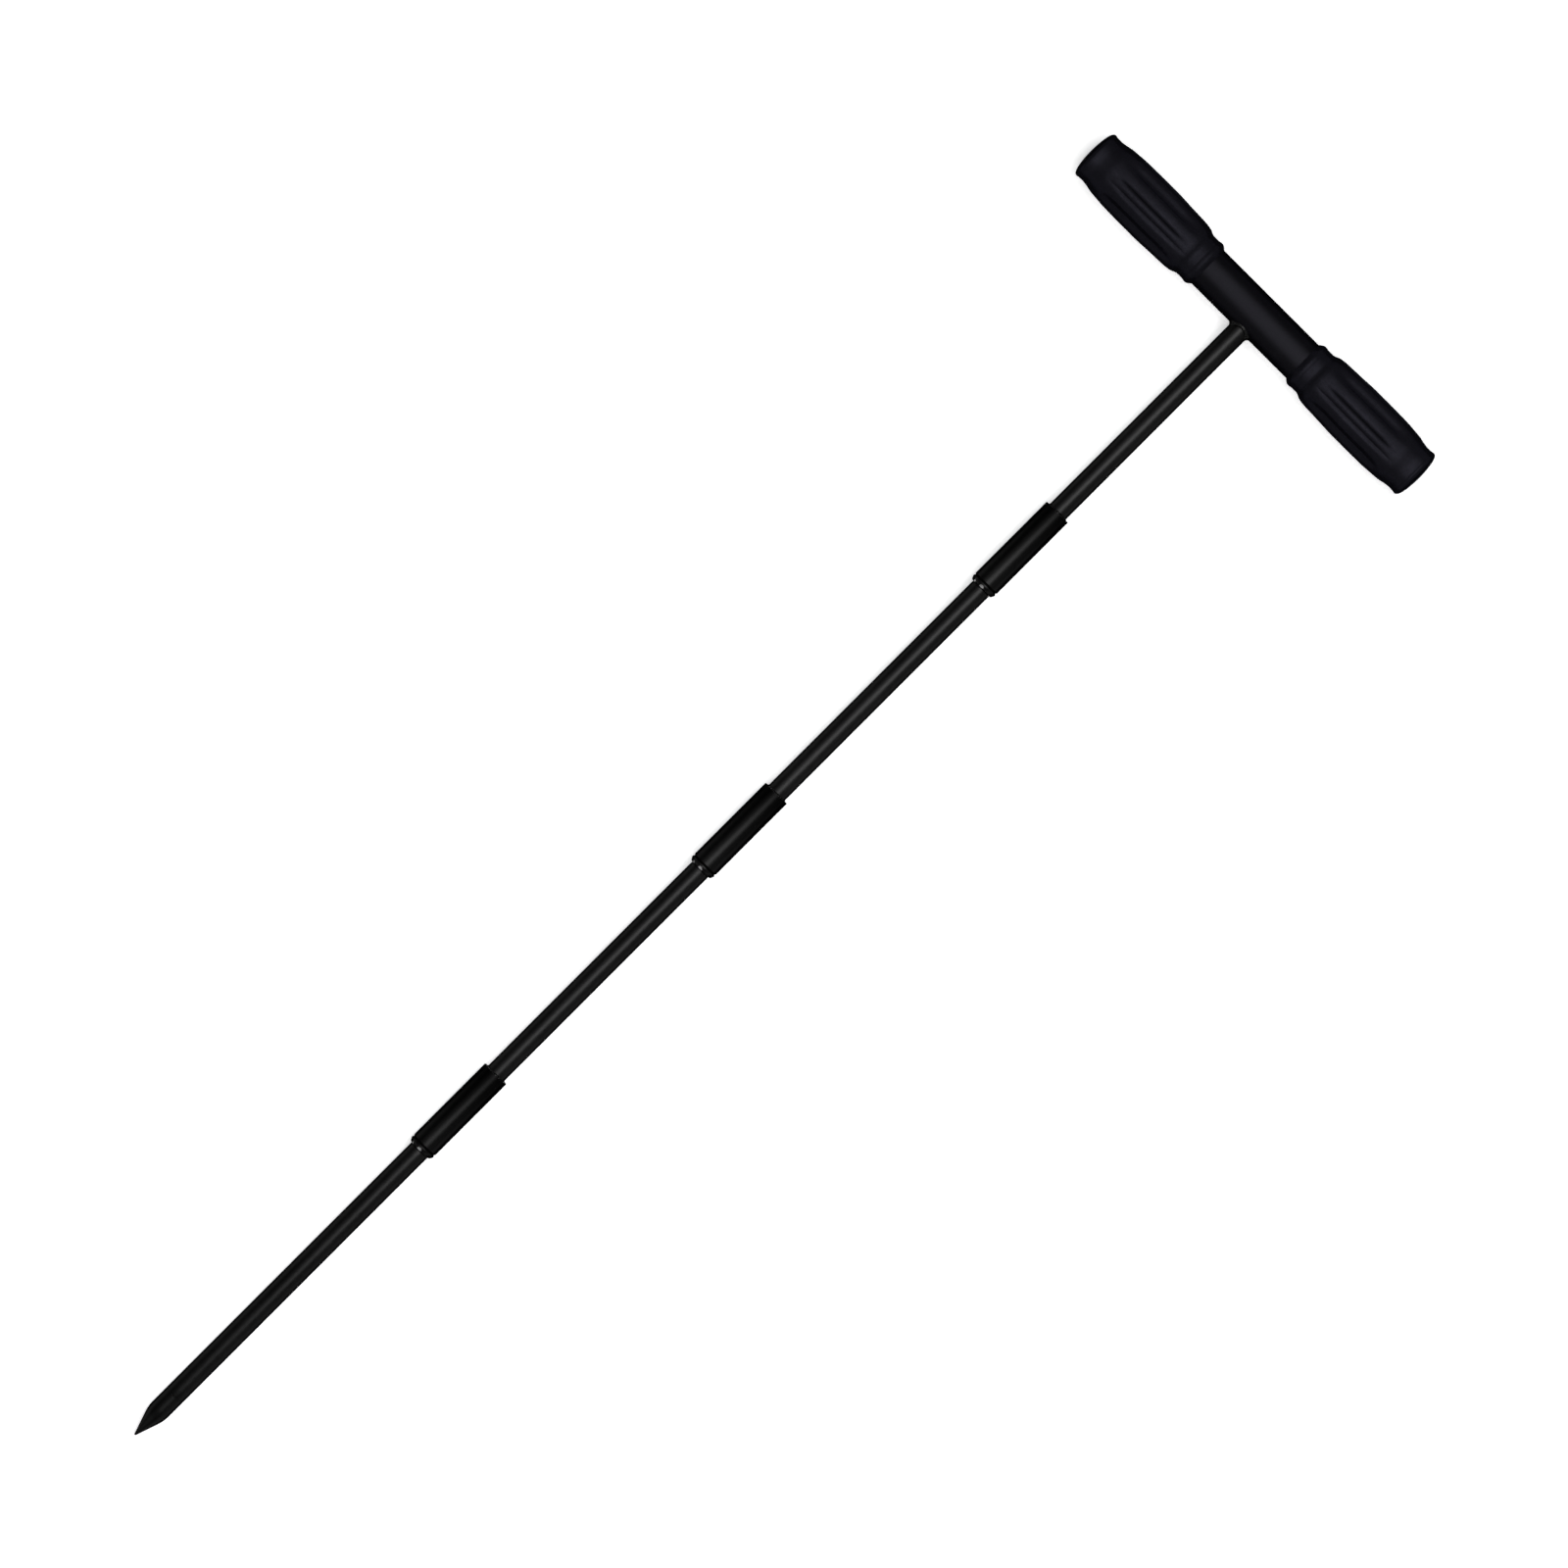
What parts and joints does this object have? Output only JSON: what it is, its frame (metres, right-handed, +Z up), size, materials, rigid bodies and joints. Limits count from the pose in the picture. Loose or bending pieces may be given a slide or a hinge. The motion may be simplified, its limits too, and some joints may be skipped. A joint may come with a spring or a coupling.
{
  "type": "soil sampling probe",
  "caption": "T-handled sectional ground probe: ribbed rubber grips on a crossbar, and straight rods joined by screwed sleeves down to a solid conical point.",
  "frame": {"origin": "under the middle of the probe's bounding box, on the surface that it lies on", "axes": "+X towards the T handle, -X towards the point, Y along the crossbar with grip_left at +Y, +Z up. The rods' axis drops 0.75 degrees from the crossbar to the point, as the probe lies on its grips and on the point's shoulder."},
  "size_m": [1.0198, 0.2922, 0.0399],
  "materials": {
    "gloss_black_paint": "black stoving paint, semi-gloss",
    "satin_black_paint": "black paint, satin",
    "weld_paint": "rippled bead under black paint",
    "grip_rubber": "moulded, fine matt grain, slightly blue black",
    "plated_steel": "turned thread, zinc plated, lightly oiled",
    "seal_rubber": "smooth black seal rubber"
  },
  "bodies": {
    "handle_section": {"crossbar_tube": "gloss_black_paint", "grip_left": "grip_rubber", "grip_right": "grip_rubber", "crossbar_weld": "weld_paint", "rod_1": "gloss_black_paint", "coupling_weld_1": "weld_paint", "coupling_1": "satin_black_paint"},
    "seal_1": {"seal_ring_1": "seal_rubber"},
    "section_2": {"threaded_stud_1": "plated_steel", "rod_2": "gloss_black_paint", "coupling_weld_2": "weld_paint", "coupling_2": "satin_black_paint"},
    "seal_2": {"seal_ring_2": "seal_rubber"},
    "section_3": {"threaded_stud_2": "plated_steel", "rod_3": "gloss_black_paint", "coupling_weld_3": "weld_paint", "coupling_3": "satin_black_paint"},
    "seal_3": {"seal_ring_3": "seal_rubber"},
    "point_section": {"threaded_stud_3": "plated_steel", "rod_4": "gloss_black_paint", "point": "gloss_black_paint"}
  },
  "joints": [
    {"name": "draw_out_1", "type": "slide", "parent": "handle_section", "child": "seal_1", "axis": [-0.9999, 0, -0.0131], "range_m": [0, 0.021]},
    {"name": "unscrew_1", "type": "hinge", "parent": "seal_1", "child": "section_2", "pos_m": [0.24582, 0, 0.01674], "axis": [-0.9999, 0, -0.0131], "range_deg": [0, 2520]},
    {"name": "draw_out_2", "type": "slide", "parent": "section_2", "child": "seal_2", "axis": [-0.9999, 0, -0.0131], "range_m": [0, 0.021]},
    {"name": "unscrew_2", "type": "hinge", "parent": "seal_2", "child": "section_3", "pos_m": [-0.00466, 0, 0.01345], "axis": [-0.9999, 0, -0.0131], "range_deg": [0, 2520]},
    {"name": "draw_out_3", "type": "slide", "parent": "section_3", "child": "seal_3", "axis": [-0.9999, 0, -0.0131], "range_m": [0, 0.021]},
    {"name": "unscrew_3", "type": "hinge", "parent": "seal_3", "child": "point_section", "pos_m": [-0.25514, 0, 0.01015], "axis": [-0.9999, 0, -0.0131], "range_deg": [0, 2520]}
  ],
  "couplings": [
    {"joint": "unscrew_1", "follows": "draw_out_1", "rad_per_m": 2094.4},
    {"joint": "unscrew_2", "follows": "draw_out_2", "rad_per_m": 2094.4},
    {"joint": "unscrew_3", "follows": "draw_out_3", "rad_per_m": 2094.4}
  ]
}
